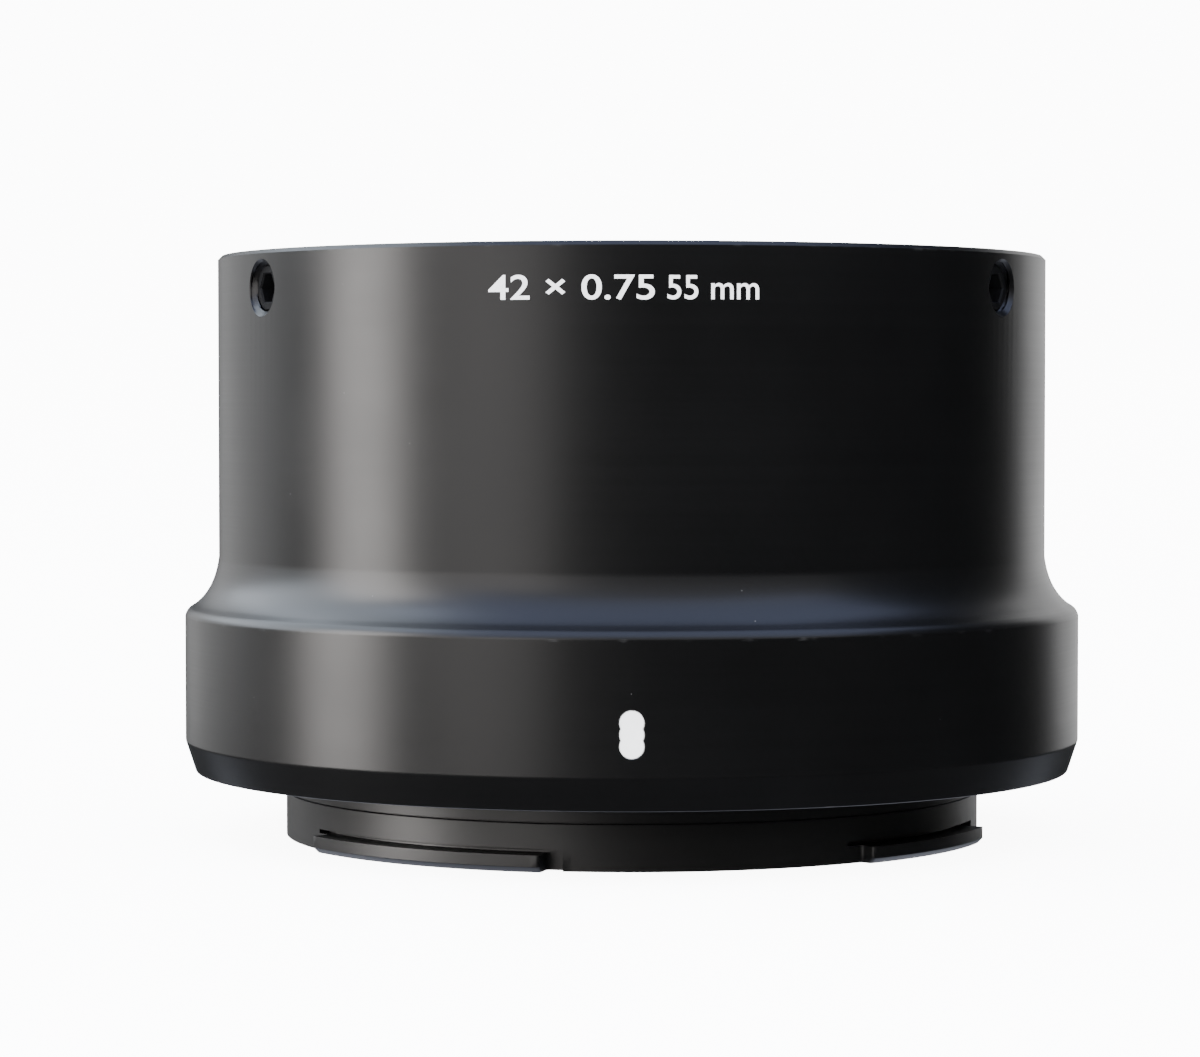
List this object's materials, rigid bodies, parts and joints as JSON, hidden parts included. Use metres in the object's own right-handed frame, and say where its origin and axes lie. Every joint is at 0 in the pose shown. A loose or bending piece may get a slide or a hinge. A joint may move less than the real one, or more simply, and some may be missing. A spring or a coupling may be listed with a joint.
{
  "type": "t-mount adapter",
  "caption": "Black tube adapter that joins a 42 mm x 0.75 mm female thread, in a turnable ring, to a short-register camera bayonet with unequal lugs.",
  "frame": {"origin": "on the optical axis, at the middle of the bayonet's rear rim, which the adapter stands on", "axes": "+Z along the optical axis from the camera side to the lens side, -Y towards the index mark, +X to the right of the index mark seen from outside"},
  "size_m": [0.0684, 0.0684, 0.044],
  "materials": {
    "barrel_anodised": "satin black anodised, fine turning lines",
    "ring_anodised": "satin black anodised, threaded bore",
    "bayonet_anodised": "satin black anodised",
    "black_steel": "black oxide, lightly oiled",
    "mark_enamel": "white enamel filling"
  },
  "bodies": {
    "barrel": {"body_barrel": "barrel_anodised", "index_mark": "mark_enamel", "bayonet_mount": "bayonet_anodised", "bayonet_screw_1": "black_steel", "bayonet_screw_2": "black_steel", "bayonet_screw_3": "black_steel", "bayonet_screw_4": "black_steel"},
    "thread_ring": {"t2_thread_ring": "ring_anodised"},
    "screw_left": {"set_screw_left": "black_steel"},
    "screw_right": {"set_screw_right": "black_steel"},
    "screw_rear": {"set_screw_rear": "black_steel"}
  },
  "joints": [
    {"name": "thread_ring_turn", "type": "hinge", "parent": "barrel", "child": "thread_ring", "pos_m": [0, 0, 0.041], "axis": [0, 0, 1], "continuous": true},
    {"name": "set_screw_left_travel", "type": "slide", "parent": "barrel", "child": "screw_left", "axis": [-0.848, -0.5299, 0], "range_m": [0, 0.0014]},
    {"name": "set_screw_right_travel", "type": "slide", "parent": "barrel", "child": "screw_right", "axis": [0.848, -0.5299, 0], "range_m": [0, 0.0014]},
    {"name": "set_screw_rear_travel", "type": "slide", "parent": "barrel", "child": "screw_rear", "axis": [0, 1, 0], "range_m": [0, 0.0014]}
  ]
}
